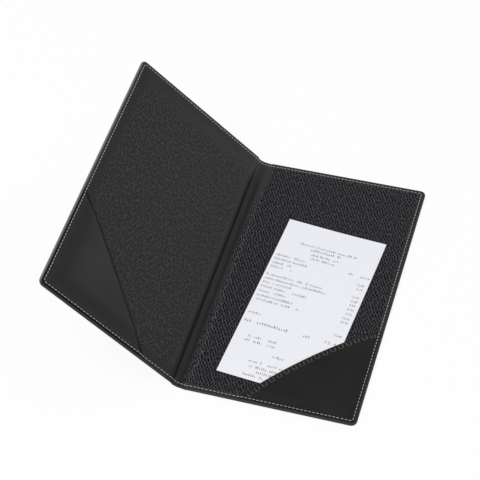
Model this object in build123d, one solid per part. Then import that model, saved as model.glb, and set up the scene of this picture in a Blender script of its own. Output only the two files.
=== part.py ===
from build123d import *
import math
import os

# Guest check presenter: a folder of leatherette over two boards, with a soft spine, a lining,
# a corner pocket on each inner face and a slip of till paper held by the right pocket.
#
# Frame: X across the open folder (right panel on +X, left panel on -X), Y up the page, Z up.
# Origin: the middle of the right panel's underside, where the folder lies on the table.
# The right panel is flat. The spine strip and then the left panel are folded up from it.
# Every piece is first built as if the folder lay open flat, then turned about its crease.

# ---------------------------------------------------------------- driving sizes, in millimetres

# Panels
PANEL_HEIGHT = 229.0
PANEL_WIDTH = 127.0
CORNER_RADIUS = 4.5
MIN_CORNER_RADIUS = 0.8

# Sheet goods, from the outside in
COVER_THICKNESS = 0.6
BOARD_THICKNESS = 1.5
FILLER_THICKNESS = 0.5
LINING_THICKNESS = 0.6
TURN_IN = 10.0
RIM_ROUND = 1.1
LINING_INSET = 1.5
FILLER_CLEARANCE = 0.5
MITRE_GAP = 0.4

# Spine: the gap between the boards, with a crease near each board
SPINE_WIDTH = 15.0
CREASE_SETBACK = 2.4
CREASE_HALF_WIDTH = 0.8
SPINE_FOLD = 25.0
COVER_FOLD = 20.0

# Rim seam
SEAM_INSET = 3.1
STITCH_PITCH = 3.0
STITCH_LENGTH = 2.2
THREAD_WIDTH = 0.5
THREAD_HEIGHT = 0.3
GROOVE_WIDTH = 1.0
COVER_GROOVE_DEPTH = 0.35
LINING_GROOVE_DEPTH = 0.15

# Corner pockets: how far each reaches up the side and along the foot, and how far its
# opening bows out from the straight line between those ends
RIGHT_POCKET_SIDE = 86.0
RIGHT_POCKET_FOOT = 87.5
RIGHT_POCKET_BOW = 5.0
LEFT_POCKET_SIDE = 88.5
LEFT_POCKET_FOOT = 95.5
LEFT_POCKET_BOW = 1.5
POCKET_THICKNESS = 0.7
POCKET_SLOT = 0.7
POCKET_HEM = 4.5
POCKET_SHOULDER = 2.1

# Overcast thread on the right pocket's opening
OVERCAST_PITCH = 3.2
OVERCAST_LENGTH = 2.9
OVERCAST_SETBACK = 1.3

# Till slip
SLIP_WIDTH = 80.0
SLIP_LENGTH = 153.5
SLIP_THICKNESS = 0.1
SLIP_LIFT = 0.3
SLIP_X = -0.7
SLIP_Y = -20.8
SLIP_TURN = -5.1

# ---------------------------------------------------------------- levels and lines from the sizes

RIM_X = PANEL_WIDTH / 2
BOARD_EDGE_X = -PANEL_WIDTH / 2
HEAD_Y = PANEL_HEIGHT / 2
PIVOT_X = BOARD_EDGE_X - CREASE_SETBACK
PIVOT_Z = COVER_THICKNESS / 2
SPINE_CENTRE_X = BOARD_EDGE_X - SPINE_WIDTH / 2
LEFT_PIVOT_X = 2 * SPINE_CENTRE_X - PIVOT_X
SKIN_EDGE_X = PIVOT_X + CREASE_HALF_WIDTH
SPINE_EDGE_X = PIVOT_X - CREASE_HALF_WIDTH
SPINE_STRIP_WIDTH = 2 * (SPINE_EDGE_X - SPINE_CENTRE_X)

BOARD_TOP = COVER_THICKNESS + BOARD_THICKNESS
WRAP_TOP = BOARD_TOP + COVER_THICKNESS
PANEL_TOP = WRAP_TOP + LINING_THICKNESS
SPINE_WRAP_TOP = 2 * COVER_THICKNESS
SPINE_TOP = SPINE_WRAP_TOP + LINING_THICKNESS
SEAM_Y = HEAD_Y - SEAM_INSET
SEAM_X = RIM_X - SEAM_INSET
OPENING_STEPS = 400

# ---------------------------------------------------------------- shared shapes


def layer(sketch, bottom, thickness):
    """A sheet of the sketch's outline, from its bottom level up."""
    return extrude(Pos(0, 0, bottom) * sketch, thickness)


def panel_outline(inset, inner_x):
    """The panel's outline drawn in from its rim, square at the spine and rounded at the rim corners."""
    width = RIM_X - inset - inner_x
    plate = Pos(inner_x + width / 2, 0) * Rectangle(width, PANEL_HEIGHT - 2 * inset)
    rim_corners = plate.vertices().group_by(Axis.X)[-1]
    return fillet(rim_corners, max(CORNER_RADIUS - inset, MIN_CORNER_RADIUS))


def seam_groove(inner_x, bottom, depth):
    """The pressed line that the seam's thread lies in, round head, rim and foot."""
    outside = panel_outline(SEAM_INSET - GROOVE_WIDTH / 2, inner_x)
    inside = panel_outline(SEAM_INSET + GROOVE_WIDTH / 2, inner_x)
    return layer(outside - inside, bottom, depth)


def strip(sketch, low_y, high_y):
    """A strip along Y whose section is drawn in X and Z."""
    section_plane = Plane(origin=(0, high_y, 0), x_dir=(1, 0, 0), z_dir=(0, -1, 0))
    return extrude(section_plane * sketch, high_y - low_y)


def at_both_ends(piece):
    """The piece at the head and its mirror image at the foot."""
    return piece + mirror(piece, Plane.XZ)


def mirrored(piece):
    """The left panel's copy of a right panel piece, with the folder still open flat."""
    copies = [mirror(solid, Plane.YZ.offset(SPINE_CENTRE_X)) for solid in piece.solids()]
    return copies[0] if len(copies) == 1 else Compound(copies)


def fold_spine(piece):
    """Turn the piece up about the crease between the right panel and the spine."""
    return piece.rotate(Axis((PIVOT_X, 0, PIVOT_Z), (0, 1, 0)), SPINE_FOLD)


def fold_cover(piece):
    """Turn the piece up about the crease between the spine and the left panel, then with the spine."""
    return fold_spine(piece.rotate(Axis((LEFT_PIVOT_X, 0, PIVOT_Z), (0, 1, 0)), COVER_FOLD))


# ---------------------------------------------------------------- outer cover, board, filler, lining


def make_outer_cover():
    """The cover's skin under the board, rounded over the rim and turned in on top of the board."""
    wrap = layer(panel_outline(0, SKIN_EDGE_X), 0, WRAP_TOP)
    flat_edges = wrap.edges().group_by(Axis.Z)[0] + wrap.edges().group_by(Axis.Z)[-1]
    crease_edges = wrap.edges().group_by(Axis.X)[0]
    rim_edges = [edge for edge in flat_edges if edge not in crease_edges]
    wrap = fillet(rim_edges, min(RIM_ROUND, WRAP_TOP / 2.1))

    window = layer(panel_outline(TURN_IN, BOARD_EDGE_X), BOARD_TOP, COVER_THICKNESS)
    crease_width = BOARD_EDGE_X - SKIN_EDGE_X
    over_crease = Pos(SKIN_EDGE_X + crease_width / 2, 0) * Rectangle(crease_width, PANEL_HEIGHT)
    wrap -= make_board() + window
    wrap -= layer(over_crease, COVER_THICKNESS, WRAP_TOP)
    wrap -= make_mitres()
    return wrap - seam_groove(SKIN_EDGE_X, 0, COVER_GROOVE_DEPTH)


def make_mitres():
    """The slits where the turned-in edges meet at the rim corners, hidden by the lining."""
    near = LINING_INSET + 1.0
    middle = (TURN_IN + near) / 2
    length = (TURN_IN - near) * math.sqrt(2)
    slit = Rot(0, 0, 45) * Rectangle(length, MITRE_GAP)
    return at_both_ends(layer(Pos(RIM_X - middle, HEAD_Y - middle) * slit, BOARD_TOP, COVER_THICKNESS))


def make_board():
    """Greyboard that stiffens the panel; it fills the space inside the wrapped cover."""
    return layer(panel_outline(COVER_THICKNESS, BOARD_EDGE_X), COVER_THICKNESS, BOARD_THICKNESS)


def make_filler():
    """The sheet that levels the window inside the turned-in edges."""
    outline = panel_outline(TURN_IN + FILLER_CLEARANCE, BOARD_EDGE_X)
    return layer(outline, BOARD_TOP, FILLER_THICKNESS)


def make_lining():
    """Embossed lining, cut short of the rim, with the pressed line of the seam."""
    sheet = layer(panel_outline(LINING_INSET, BOARD_EDGE_X), WRAP_TOP, LINING_THICKNESS)
    return sheet - seam_groove(BOARD_EDGE_X, PANEL_TOP - LINING_GROOVE_DEPTH, LINING_GROOVE_DEPTH)


# ---------------------------------------------------------------- spine and creases


def make_spine_cover():
    """The cover between the creases, doubled by the turn-in at head and foot, with a folded edge."""
    skin = Pos(SPINE_CENTRE_X, 0) * Rectangle(SPINE_STRIP_WIDTH, PANEL_HEIGHT)
    tab = Pos(SPINE_CENTRE_X, HEAD_Y - TURN_IN / 2) * Rectangle(SPINE_STRIP_WIDTH, TURN_IN)
    cover = layer(skin, 0, COVER_THICKNESS) + at_both_ends(layer(tab, 0, SPINE_WRAP_TOP))
    end_edges = cover.edges().filter_by(Axis.X).group_by(Axis.Y)
    cover = fillet(end_edges[0] + end_edges[-1], SPINE_WRAP_TOP / 2.2)
    groove = Pos(SPINE_CENTRE_X, SEAM_Y) * Rectangle(SPINE_STRIP_WIDTH, GROOVE_WIDTH)
    return cover - at_both_ends(layer(groove, 0, COVER_GROOVE_DEPTH))


def make_spine_lining():
    """The lining between the creases, held at head and foot on the turned-in cover."""
    sheet = Pos(SPINE_CENTRE_X, 0) * Rectangle(SPINE_STRIP_WIDTH, PANEL_HEIGHT - 2 * LINING_INSET)
    groove = Pos(SPINE_CENTRE_X, SEAM_Y) * Rectangle(SPINE_STRIP_WIDTH, GROOVE_WIDTH)
    pressed = at_both_ends(layer(groove, SPINE_TOP - LINING_GROOVE_DEPTH, LINING_GROOVE_DEPTH))
    return layer(sheet, SPINE_WRAP_TOP, LINING_THICKNESS) - pressed


def spine_point(level, fold):
    """Where a level of the spine strip's near edge stands once the spine is folded up."""
    angle = math.radians(fold)
    height = level - PIVOT_Z
    x = PIVOT_X - CREASE_HALF_WIDTH * math.cos(angle) + height * math.sin(angle)
    z = PIVOT_Z + CREASE_HALF_WIDTH * math.sin(angle) + height * math.cos(angle)
    return (x, z)


def ramp_arcs(spine_level, panel_level, fold):
    """The line that a sheet follows from the folded spine up over the board's edge: two arcs that
    meet smoothly, the first leaving along the spine and the second arriving along the panel."""
    start = Vector(*spine_point(spine_level, fold))
    end = Vector(BOARD_EDGE_X, panel_level)
    along_spine = Vector(1, 0).rotate(Axis.Z, -fold)
    along_panel = Vector(1, 0)

    chord = end - start
    forward = chord.dot(along_spine + along_panel)
    turn = 2 * (1 - along_spine.dot(along_panel))
    reach = (math.sqrt(forward**2 + turn * chord.dot(chord)) - forward) / turn
    middle = (start + end + (along_spine - along_panel) * reach) * 0.5
    return [TangentArc(start, middle, tangent=along_spine), TangentArc(end, middle, tangent=-along_panel)]


def ramp_section(spine_level, panel_level, thickness, fold):
    """The section of a sheet that runs from the folded spine up over the board's edge."""
    under = ramp_arcs(spine_level, panel_level, fold)
    over = ramp_arcs(spine_level + thickness, panel_level + thickness, fold)
    ends = [Line(under[0] @ 0, over[0] @ 0), Line(under[1] @ 0, over[1] @ 0)]
    return make_face(under + over + ends)


def bend_arc(level, fold):
    """The arc of the cover's bend at a level, from the folded spine down to the flat panel."""
    bend_radius = CREASE_HALF_WIDTH / math.tan(math.radians(fold) / 2)
    centre = (SKIN_EDGE_X, PIVOT_Z + bend_radius)
    return CenterArc(centre, bend_radius - (level - PIVOT_Z), 270 - fold, fold)


def make_crease_cover(fold):
    """The bent skin of the cover at a crease, with the turn-in glued down on it at head and foot."""
    outside = bend_arc(0, fold)
    inside = bend_arc(COVER_THICKNESS, fold)
    skin_end = Line(outside @ 1, inside @ 1)
    bend = make_face([outside, skin_end, inside, Line(inside @ 0, outside @ 0)])

    ramp = ramp_arcs(SPINE_WRAP_TOP, WRAP_TOP, fold)
    board_foot = (BOARD_EDGE_X, COVER_THICKNESS)
    beside_board = [Line(inside @ 1, board_foot), Line(board_foot, ramp[1] @ 0)]
    spine_end = Line(ramp[0] @ 0, outside @ 0)
    turned_in = make_face([outside, skin_end, spine_end] + beside_board + ramp)
    tab = strip(turned_in, HEAD_Y - TURN_IN, HEAD_Y)
    return strip(bend, TURN_IN - HEAD_Y, HEAD_Y - TURN_IN) + at_both_ends(tab)


def make_crease_lining(fold):
    """The lining at a crease, from the spine up over the board's edge."""
    section = ramp_section(SPINE_WRAP_TOP, WRAP_TOP, LINING_THICKNESS, fold)
    return strip(section, LINING_INSET - HEAD_Y, HEAD_Y - LINING_INSET)


# ---------------------------------------------------------------- corner pockets


def pocket_ends(side, foot):
    """The ends of a pocket's opening, on the rim and on the foot of the panel."""
    return (RIM_X, side - HEAD_Y), (RIM_X - foot, -HEAD_Y)


def pocket_opening(side, foot, bow):
    """The bowed line of a pocket's opening, from the rim to the foot."""
    rim_end, foot_end = pocket_ends(side, foot)
    chord = math.dist(rim_end, foot_end)
    bow_x = -side / chord * bow
    bow_y = foot / chord * bow
    crown = ((rim_end[0] + foot_end[0]) / 2 + bow_x, (rim_end[1] + foot_end[1]) / 2 + bow_y)
    return ThreePointArc(rim_end, crown, foot_end)


def make_pocket(side, foot, bow):
    """A leather corner, sewn down along rim and foot and raised between them to take a slip."""
    rim_end, foot_end = pocket_ends(side, foot)
    corner = (RIM_X, -HEAD_Y)
    opening = pocket_opening(side, foot, bow)
    corner_outline = make_face([opening, Line(foot_end, corner), Line(corner, rim_end)])
    corner_block = layer(corner_outline, 0, PANEL_TOP + POCKET_SLOT + POCKET_THICKNESS)

    hem = layer(panel_outline(LINING_INSET, BOARD_EDGE_X), PANEL_TOP, POCKET_THICKNESS)
    slope = math.degrees(math.atan2(POCKET_SHOULDER, POCKET_SLOT))
    shoulder_outline = panel_outline(LINING_INSET + POCKET_HEM - POCKET_SHOULDER, BOARD_EDGE_X)
    raised = extrude(Pos(0, 0, PANEL_TOP + POCKET_THICKNESS) * shoulder_outline, POCKET_SLOT, taper=slope)
    slot = layer(panel_outline(LINING_INSET + POCKET_HEM, BOARD_EDGE_X), PANEL_TOP, POCKET_SLOT)
    return ((hem + raised) & corner_block) - slot


def make_overcast(side, foot, bow):
    """Thread oversewn on a pocket's opening: short bars across the edge, on the raised leather."""
    opening = pocket_opening(side, foot, bow)
    sewn_margin = LINING_INSET + POCKET_HEM + POCKET_SHOULDER
    steps = int(opening.length / OVERCAST_PITCH)
    bars = []
    for step in range(steps + 1):
        place = step / steps
        point = opening @ place
        along = opening % place
        inward = Vector(-along.Y, along.X)
        middle = point + inward * (OVERCAST_SETBACK + OVERCAST_LENGTH / 2)
        on_raised = point.X < RIM_X - sewn_margin and point.Y > sewn_margin - HEAD_Y
        if on_raised:
            top = PANEL_TOP + POCKET_SLOT + POCKET_THICKNESS
            turn = math.degrees(math.atan2(inward.Y, inward.X))
            bars.append(stitch(middle.X, middle.Y, turn, top, OVERCAST_LENGTH))
    return Compound(bars)


# ---------------------------------------------------------------- stitches


def stitch(x, y, turn, bottom, length):
    """One stitch: a short bar of thread lying on the leather."""
    bar = Box(length, THREAD_WIDTH, THREAD_HEIGHT, align=(Align.CENTER, Align.CENTER, Align.MIN))
    return Pos(x, y, bottom) * Rot(0, 0, turn) * bar


def row_places(start, end):
    """The middles of the stitches of a row, a pitch apart and evenly set between its ends."""
    count = int((end - start) / STITCH_PITCH)
    first = (start + end) / 2 - STITCH_PITCH * (count - 1) / 2
    return [first + STITCH_PITCH * index for index in range(count)]


def make_panel_seam(level_at_side, level_at_foot, head_level):
    """The seam round a panel: down the rim, along the foot and along the head."""
    inner_x = BOARD_EDGE_X
    stitches = [stitch(SEAM_X, y, 90, level_at_side(y), STITCH_LENGTH) for y in row_places(-SEAM_Y, SEAM_Y)]
    for x in row_places(inner_x, SEAM_X):
        stitches.append(stitch(x, -SEAM_Y, 0, level_at_foot(x), STITCH_LENGTH))
        stitches.append(stitch(x, SEAM_Y, 0, head_level, STITCH_LENGTH))
    return Compound(stitches)


def make_needle_seam(side, foot, bow):
    """Needle thread on the inner face, on the lining's pressed line and up over the pocket's hem."""
    on_lining = PANEL_TOP - LINING_GROOVE_DEPTH
    on_pocket = PANEL_TOP + POCKET_THICKNESS
    opening = pocket_opening(side, foot, bow)
    opening_points = [opening @ (step / OPENING_STEPS) for step in range(OPENING_STEPS + 1)]
    reach_y = max(point.Y for point in opening_points if point.X <= SEAM_X) + STITCH_LENGTH / 2
    reach_x = min(point.X for point in opening_points if point.Y >= -SEAM_Y) - STITCH_LENGTH / 2

    def level_at_side(y):
        return on_pocket if y < reach_y else on_lining

    def level_at_foot(x):
        return on_pocket if x > reach_x else on_lining

    return make_panel_seam(level_at_side, level_at_foot, on_lining)


def make_bobbin_seam():
    """Bobbin thread on the outside, sunk in the cover's pressed line so that the cover lies flat."""
    sunk = COVER_GROOVE_DEPTH - THREAD_HEIGHT
    return make_panel_seam(lambda y: sunk, lambda x: sunk, sunk)


def make_spine_seam(level):
    """The seam where it crosses the spine, at head and foot."""
    ends = (SPINE_CENTRE_X - SPINE_STRIP_WIDTH / 2, SPINE_CENTRE_X + SPINE_STRIP_WIDTH / 2)
    places = row_places(*ends)
    return Compound([stitch(x, y, 0, level, STITCH_LENGTH) for x in places for y in (-SEAM_Y, SEAM_Y)])


# ---------------------------------------------------------------- till slip


def make_slip():
    """The till slip, lying on the lining with its lower corner in the right pocket."""
    paper = Rot(0, 0, SLIP_TURN) * Rectangle(SLIP_WIDTH, SLIP_LENGTH)
    return layer(Pos(SLIP_X, SLIP_Y) * paper, PANEL_TOP + SLIP_LIFT, SLIP_THICKNESS)


# ---------------------------------------------------------------- the assembly

panel_sheets = {
    "outer_cover": make_outer_cover(),
    "board": make_board(),
    "filler": make_filler(),
    "lining": make_lining(),
    "seam_bobbin_thread": make_bobbin_seam(),
}

pieces = {}
for name, sheet in panel_sheets.items():
    pieces["right_" + name] = sheet
    pieces["left_" + name] = fold_cover(mirrored(sheet))

right_pocket_cut = (RIGHT_POCKET_SIDE, RIGHT_POCKET_FOOT, RIGHT_POCKET_BOW)
pieces["right_pocket"] = make_pocket(*right_pocket_cut)
pieces["right_pocket_overcast"] = make_overcast(*right_pocket_cut)
pieces["right_seam_needle_thread"] = make_needle_seam(*right_pocket_cut)
pieces["right_crease_cover"] = make_crease_cover(SPINE_FOLD)
pieces["right_crease_lining"] = make_crease_lining(SPINE_FOLD)

pieces["spine_outer_cover"] = fold_spine(make_spine_cover())
pieces["spine_lining"] = fold_spine(make_spine_lining())
pieces["spine_seam_needle_thread"] = fold_spine(make_spine_seam(SPINE_TOP - LINING_GROOVE_DEPTH))
pieces["spine_seam_bobbin_thread"] = fold_spine(make_spine_seam(COVER_GROOVE_DEPTH - THREAD_HEIGHT))

left_pocket_cut = (LEFT_POCKET_SIDE, LEFT_POCKET_FOOT, LEFT_POCKET_BOW)
pieces["left_pocket"] = fold_cover(mirrored(make_pocket(*left_pocket_cut)))
pieces["left_seam_needle_thread"] = fold_cover(mirrored(make_needle_seam(*left_pocket_cut)))
pieces["left_crease_cover"] = fold_cover(mirrored(make_crease_cover(COVER_FOLD)))
pieces["left_crease_lining"] = fold_cover(mirrored(make_crease_lining(COVER_FOLD)))

pieces["guest_check"] = make_slip()

os.makedirs("parts", exist_ok=True)
for node, piece in pieces.items():
    export_step(piece, f"parts/{node}.step")
    print(f"{node}: {len(piece.solids())} solids, {piece.volume:.2f} mm3")
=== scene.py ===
# %% [markdown]
# # A guest check presenter
# A restaurant brings the bill in a folder like this one: two stiff boards in black leatherette, joined by
# a soft spine, lined with an embossed sheet, sewn round the rim, with a corner pocket on each side. This
# lesson dresses a measured CAD model of it. The CAD gives the sizes, the places and the joints, and the
# cells below make the leather, the thread and the paper that the eye sees.

# %% Load the measured model
import math
import random

import bmesh
import bpy
import numpy as np
from mathutils import Matrix, Vector


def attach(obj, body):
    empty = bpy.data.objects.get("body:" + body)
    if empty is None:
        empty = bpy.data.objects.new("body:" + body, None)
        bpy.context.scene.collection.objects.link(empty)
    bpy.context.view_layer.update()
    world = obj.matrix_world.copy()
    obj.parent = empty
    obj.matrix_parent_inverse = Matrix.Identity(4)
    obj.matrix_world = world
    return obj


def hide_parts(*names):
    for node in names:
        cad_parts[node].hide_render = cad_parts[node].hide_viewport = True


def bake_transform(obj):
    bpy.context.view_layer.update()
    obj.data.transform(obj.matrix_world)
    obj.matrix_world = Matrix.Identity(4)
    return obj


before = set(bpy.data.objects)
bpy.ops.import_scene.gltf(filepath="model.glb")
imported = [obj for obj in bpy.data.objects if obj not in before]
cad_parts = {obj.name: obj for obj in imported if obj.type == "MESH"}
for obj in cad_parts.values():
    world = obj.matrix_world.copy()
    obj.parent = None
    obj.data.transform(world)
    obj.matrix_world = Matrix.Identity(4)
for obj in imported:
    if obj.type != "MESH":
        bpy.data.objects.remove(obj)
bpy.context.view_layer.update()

# %% [markdown]
# ## Sizes
# A leather goods maker thinks in millimetres, so every size here is one. A mesh is turned to metres once,
# when it is finished. The folder is first laid open flat: the right panel's middle is the origin, X runs
# across the page, Y runs up it, and the spine and the left panel lie on the side of negative X.

# %% Sizes in millimetres, with the folder open flat
METRES_PER_MM = 0.001

PANEL_HEIGHT = 229.0
PANEL_WIDTH = 127.0
SPINE_WIDTH = 15.0
CORNER_RADIUS = 4.5
COVER_THICKNESS = 0.6
LINING_THICKNESS = 0.6
POCKET_THICKNESS = 0.7
POCKET_INSET = 2.3
TURN_IN = 10.0
LINING_INSET = 1.5
SEAM_INSET = 3.1

RIM_X = PANEL_WIDTH / 2
HEAD_Y = PANEL_HEIGHT / 2
BOARD_EDGE_X = -PANEL_WIDTH / 2
SPINE_CENTRE_X = BOARD_EDGE_X - SPINE_WIDTH / 2
SEAM_X = RIM_X - SEAM_INSET
SEAM_Y = HEAD_Y - SEAM_INSET
CORNER_X = RIM_X - CORNER_RADIUS
CORNER_Y = HEAD_Y - CORNER_RADIUS

# How high each upper face lies over the underside, on the boards and then over the spine.
BOARD_TOP = 2.1
WRAP_TOP = 2.7
PANEL_TOP = 3.3
SPINE_WRAP_TOP = 1.2
SPINE_TOP = 1.8

print("panel", PANEL_WIDTH, "x", PANEL_HEIGHT, "mm, spine", SPINE_WIDTH, "mm")

# %% [markdown]
# ## Folding the flat folder
# The photograph shows the folder part open: the spine strip stands up from the right panel at one crease,
# and the left panel stands up from the spine at the other. Modelling on a slope is awkward, so each sheet
# is made flat and then turned about the creases.

# %% The two creases
CREASE_SETBACK = 2.4
PIVOT_Z = COVER_THICKNESS / 2
RIGHT_PIVOT_X = BOARD_EDGE_X - CREASE_SETBACK
LEFT_PIVOT_X = 2 * SPINE_CENTRE_X - RIGHT_PIVOT_X
SPINE_FOLD = math.radians(25)
COVER_FOLD = math.radians(20)
SPINE_SAG, SPINE_SAG_START, SPINE_SAG_RUN = 1.1, 0.6, 12.0


def smooth_step(values, low, high):
    """0 up to low, 1 from high, with a smooth rise between them. High may lie below low."""
    share = np.clip((values - low) / (high - low), 0, 1)
    return share * share * (3 - 2 * share)


def turn_at_crease(points, pivot_x, angle):
    """Turn the points on the far side of a crease up by the angle, and those in the bend by part of it."""
    turn = angle * smooth_step(points[:, 0], pivot_x + CREASE_SETBACK, pivot_x - CREASE_SETBACK)
    across, height = points[:, 0] - pivot_x, points[:, 2] - PIVOT_Z
    turned = points.copy()
    turned[:, 0] = pivot_x + across * np.cos(turn) + height * np.sin(turn)
    turned[:, 2] = PIVOT_Z - across * np.sin(turn) + height * np.cos(turn)
    return turned


def sag_over_spine(points):
    """The spine is soft, so it sags a little between the boards."""
    share = np.clip((RIGHT_PIVOT_X - SPINE_SAG_START - points[:, 0]) / SPINE_SAG_RUN, 0, 1)
    sagged = points.copy()
    sagged[:, 2] -= SPINE_SAG * np.sin(math.pi * share) ** 1.5
    return sagged


def fold(points):
    """The points of a flat piece as they stand at rest, with both creases folded up."""
    turned = turn_at_crease(sag_over_spine(points), LEFT_PIVOT_X, COVER_FOLD)
    return turn_at_crease(turned, RIGHT_PIVOT_X, SPINE_FOLD)


def rest_place(x, z=PIVOT_Z):
    """Where one flat point stands at rest, in metres."""
    return tuple(fold(np.array([[x, 0.0, z]]))[0] * METRES_PER_MM)


print("left crease stands at", [round(c, 5) for c in rest_place(LEFT_PIVOT_X)])

# %% [markdown]
# ## Turning a flat bmesh into a finished piece
# Two things happen to every piece of the folder after it is drawn: a left-hand piece is mirrored, and the
# piece is folded. The lining also keeps its flat place as a UV map in metres, so that its embossed pattern
# follows the sheet and not the room. Normals are recalculated after the mirror, because a mirror turns a
# closed shell inside out.

# %% Finishing helpers
SHARP_ANGLE = math.radians(38)


def move_points(bm, rule):
    """Move every vertex by a rule that takes and gives an array of points."""
    points = np.array([vertex.co for vertex in bm.verts], float).reshape(-1, 3)
    for vertex, point in zip(bm.verts, rule(points)):
        vertex.co = point


def keep_flat_place(bm):
    """A UV map that holds each corner's place on the flat sheet, in metres."""
    layer = bm.loops.layers.uv.new("flat_place")
    for face in bm.faces:
        for loop in face.loops:
            loop[layer].uv = (loop.vert.co.x * METRES_PER_MM, loop.vert.co.y * METRES_PER_MM)


def mirror_to_left(points):
    """The left panel's place for a piece drawn on the right panel, with the folder flat."""
    mirrored = points.copy()
    mirrored[:, 0] = 2 * SPINE_CENTRE_X - mirrored[:, 0]
    return mirrored


def add_object(name, data):
    """A new object in the scene, at the origin."""
    added = bpy.data.objects.new(name, data)
    bpy.context.scene.collection.objects.link(added)
    return added


def make_mesh(bm, name, material):
    """Turn a bmesh that is done into a mesh of one material."""
    mesh = bpy.data.meshes.new(name)
    bm.to_mesh(mesh)
    bm.free()
    mesh.materials.append(material)
    return mesh


def finish_piece(bm, name, material, left=False, folds=True):
    """Mirror and fold a flat bmesh, turn it to metres and make it an object at the origin."""
    if left:
        move_points(bm, mirror_to_left)
    if folds:
        move_points(bm, fold)
    bmesh.ops.recalc_face_normals(bm, faces=bm.faces[:])
    bmesh.ops.scale(bm, vec=(METRES_PER_MM,) * 3, verts=bm.verts[:])
    mesh = make_mesh(bm, name, material)
    mesh.shade_smooth()
    mesh.set_sharp_from_angle(angle=SHARP_ANGLE)
    print(f"{name}: {len(mesh.polygons)} faces")
    return add_object(name, mesh)


def bend_over_spine(piece, left):
    """Bake the piece's transform into its mesh. Where the crease's ends stand at rest is worked out but not
    used.
    """
    if left:
        rest_place(LEFT_PIVOT_X + CREASE_SETBACK)
        rest_place(LEFT_PIVOT_X - CREASE_SETBACK)
        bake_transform(piece)
    else:
        rest_place(RIGHT_PIVOT_X + CREASE_SETBACK)
        rest_place(RIGHT_PIVOT_X - CREASE_SETBACK)
        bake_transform(piece)


def name_of(left):
    return "left" if left else "right"


# %% [markdown]
# ## Materials
# One function turns the hex colours of a swatch book into Blender's linear light, and one function adds a
# node. Each finish below starts from what the real material is.

# %% Colour and node helpers
def linear(hex_colour):
    """An sRGB hex colour as the linear RGBA that shaders take."""
    channels = [int(hex_colour[start:start + 2], 16) / 255 for start in (1, 3, 5)]
    return tuple(c / 12.92 if c <= 0.04045 else ((c + 0.055) / 1.055) ** 2.4 for c in channels) + (1.0,)


def set_inputs(tree, node, inputs):
    """Give a node's inputs their values, or link them to the sockets that are given."""
    for socket, value in inputs.items():
        if isinstance(value, bpy.types.NodeSocket):
            tree.links.new(value, node.inputs[socket])
        else:
            node.inputs[socket].default_value = value


def add_node(tree, kind, inputs=None, **settings):
    """Add one node with its settings and its inputs."""
    node = tree.nodes.new(kind)
    for setting, value in settings.items():
        setattr(node, setting, value)
    set_inputs(tree, node, inputs or {})
    return node


def new_material(name):
    """An empty material with its output and its shader already joined."""
    material = bpy.data.materials.new(name)
    material.use_nodes = True
    tree = material.node_tree
    tree.nodes.clear()
    shader = add_node(tree, "ShaderNodeBsdfPrincipled")
    add_node(tree, "ShaderNodeOutputMaterial", {"Surface": shader.outputs["BSDF"]})
    return material, tree, shader


def per_metre(size_mm):
    """The texture scale that repeats a pattern every so many millimetres."""
    return 1 / (size_mm * METRES_PER_MM)


# %% [markdown]
# ### Embossed leatherette
# The lining is PVC-coated cloth, rolled hot between an engraved cylinder and a rubber one. The engraving is
# a fine reptile grain: rows of small pits in a raised web, about 2 mm apart, that wander a little across
# the sheet. The web catches the light and the pits lose it, and this shade is also painted into the colour:
# the pits are painted near-black and the web lighter. A Voronoi texture on the sheet's flat place gives the
# pits, sheared so that its rows are staggered, and a slow noise makes the rows wander. A shallow wave joins
# the pits of one set of rows a little, and another noise opens some pits and closes others. The fainter the
# emboss, the less regular its rows. Where the sheet is pressed by the seam or stretched over the spine the
# emboss is ironed out, and the surface is smoother. Shade is painted into the fold of the spine, and
# highlights onto its swell and the right sheet's shoulder over the board's edge. Three attributes tell the
# material where: one says how much emboss is left, one sets the painted shade and highlights and the gloss,
# and one marks a shadow painted beside the left pocket's edge.

# %% Embossed leatherette
PIT_PITCH, ROW_ANGLES = 2.13, (math.radians(30), math.radians(155))
ROW_WANDER, ROW_WANDER_SIZE = 1.1, 9.0
ROW_WAVE, ROW_WAVE_PHASE = -0.03, -0.9
FAINT_DISORDER, CLEAR_DISORDER = 0.75, 0.3
WEAR_SIZE, WEAR_AMOUNT = 1.1, 0.28
PIT_EDGE, WEB_EDGE = 0.24, 0.59
IRONED_HEIGHT, EMBOSS_DEPTH = 0.7, 0.22
GRAIN_SIZE, GRAIN_DEPTH = 0.35, 0.02
# Above this level the web is painted lighter, as the right shoulder's highlight.
HIGHLIGHT_START = 0.74


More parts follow.
